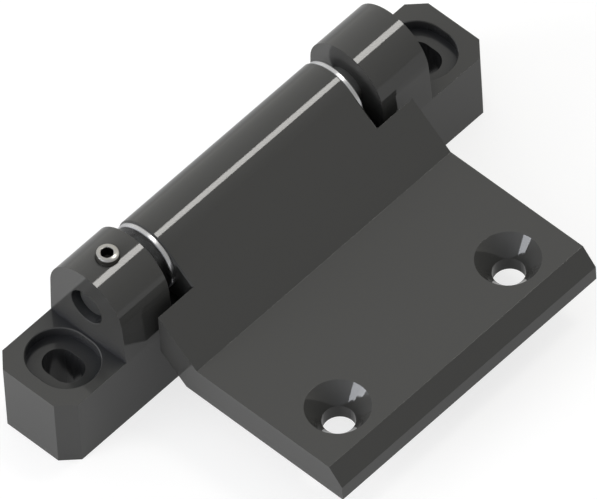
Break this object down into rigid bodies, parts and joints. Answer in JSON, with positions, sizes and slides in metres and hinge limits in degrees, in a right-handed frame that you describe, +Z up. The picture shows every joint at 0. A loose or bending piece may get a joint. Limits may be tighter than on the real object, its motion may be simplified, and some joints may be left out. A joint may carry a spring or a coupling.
{
  "type": "hinge",
  "caption": "Heavy machine-door hinge: slotted base block with two round lugs, and a cranked, countersunk leaf that swings on a pin between them.",
  "frame": {"origin": "centre of the bar's underside, where the base block seats", "axes": "+X along the bar and the pin, away from the lug with the set screw; +Z up, away from the seat; the leaf stands out towards -Y"},
  "size_m": [0.15, 0.0876, 0.0463],
  "materials": {
    "black_enamel": "smooth glossy black",
    "dark_pin_steel": "turned and oiled",
    "plated_screw_steel": "bright plated",
    "bright_bush_steel": "bright turned"
  },
  "bodies": {
    "base": {"base_block": "black_enamel", "hinge_pin": "dark_pin_steel", "set_screw": "plated_screw_steel"},
    "swinging_leaf": {"leaf": "black_enamel", "bush_left": "bright_bush_steel", "bush_right": "bright_bush_steel"}
  },
  "joints": [
    {"name": "leaf_swing", "type": "hinge", "parent": "base", "child": "swinging_leaf", "pos_m": [0, 0, 0.0327], "axis": [-1, 0, 0], "range_deg": [-9.8, 214]}
  ]
}
